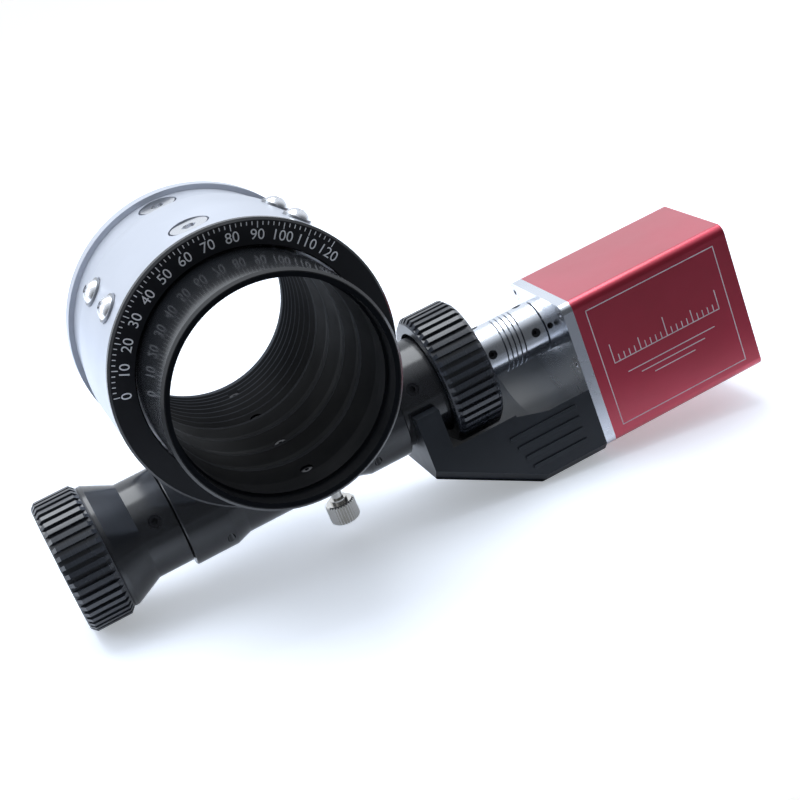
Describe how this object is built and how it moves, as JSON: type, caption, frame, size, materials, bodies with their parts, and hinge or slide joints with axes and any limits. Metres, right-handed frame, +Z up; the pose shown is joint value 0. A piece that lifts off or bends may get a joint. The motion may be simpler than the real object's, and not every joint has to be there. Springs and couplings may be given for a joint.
{
  "type": "motorised telescope focuser",
  "caption": "Rack-and-pinion telescope focuser: a sliding drawtube in a round body, coarse knobs on the pinion shaft and a boxed motor driving the fine shaft.",
  "frame": {"origin": "on the optical axis, in the face of the rear flange that seats against the telescope", "axes": "+Y along the optical axis towards the telescope, +X along the pinion shaft towards the motor, +Z up, away from the pinion"},
  "size_m": [0.2374, 0.1092, 0.1303],
  "materials": {
    "silver_body": "satin anodised, pearl silver",
    "black_anodised": "gloss black anodised",
    "black_matt": "matt black anodised, light traps inside",
    "bright_steel": "polished stainless",
    "black_steel": "black oxide",
    "nickel": "nickel plated",
    "brass": "turned",
    "nylon": "natural",
    "bare_aluminium": "machined, polished",
    "printed_black": "black, fine layer lines",
    "red_anodised": "red anodised with pale engraving",
    "motor_can": "satin",
    "board_green": "solder mask",
    "black_plastic": "moulded"
  },
  "bodies": {
    "focuser": {"body_housing": "silver_body", "rear_flange": "silver_body", "rear_flange_screws": "bright_steel", "face_ring": "black_anodised", "guide_pads": "nylon", "guide_washers": "black_steel", "guide_screws": "bright_steel", "clamp_screws": "bright_steel", "pinion_housing": "black_anodised", "housing_screws": "black_steel", "left_bearing": "bright_steel", "right_bearing": "bright_steel", "left_cap": "black_anodised", "right_cap": "black_anodised", "cap_screws": "black_steel", "motor_bracket": "printed_black", "bracket_cap_screws": "bright_steel", "bracket_plate_screws": "bright_steel", "motor_plate": "bare_aluminium", "plate_screws": "bright_steel", "nose_screw": "black_steel", "gearmotor": "motor_can", "motor_case": "red_anodised", "end_cover": "red_anodised", "cover_screws": "bright_steel", "circuit_board": "board_green", "power_inlet": "black_plastic", "data_inlet": "bright_steel"},
    "drawtube": {"drawtube": "black_matt", "rack": "bright_steel", "rack_screws": "black_steel"},
    "pinion": {"pinion_shaft": "bright_steel", "left_knob": "black_anodised", "left_knob_screw": "bright_steel", "right_knob": "black_anodised", "right_knob_screws": "black_steel", "fine_bush": "brass"},
    "fine_drive": {"fine_shaft": "bright_steel", "coupling": "bare_aluminium", "coupling_screws": "black_steel", "motor_shaft": "bright_steel"},
    "lock_pad": {"lock_pad": "brass"},
    "lock_screw": {"lock_screw": "nickel"}
  },
  "joints": [
    {"name": "drawtube_slide", "type": "slide", "parent": "focuser", "child": "drawtube", "axis": [0, -1, 0], "range_m": [-0.025, 0.0385]},
    {"name": "pinion_turn", "type": "hinge", "parent": "focuser", "child": "pinion", "pos_m": [0, -0.0355, -0.0432], "axis": [1, 0, 0], "range_deg": [-298.92, 460.06]},
    {"name": "fine_drive_turn", "type": "hinge", "parent": "focuser", "child": "fine_drive", "pos_m": [0.085, -0.0355, -0.0432], "axis": [1, 0, 0], "range_deg": [-2989.16, 4600.6]},
    {"name": "lock_pad_slide", "type": "slide", "parent": "focuser", "child": "lock_pad", "axis": [0, 0, 1], "range_m": [-0.0014, 0.0004]},
    {"name": "lock_screw_turn", "type": "hinge", "parent": "lock_pad", "child": "lock_screw", "pos_m": [0.012, -0.0355, -0.066], "axis": [0, 0, 1], "range_deg": [-721, 206.71]}
  ],
  "couplings": [
    {"joint": "pinion_turn", "follows": "drawtube_slide", "rad_per_m": 208.33},
    {"joint": "fine_drive_turn", "follows": "drawtube_slide", "rad_per_m": 2083.3},
    {"joint": "lock_screw_turn", "follows": "lock_pad_slide", "rad_per_m": 8976}
  ]
}
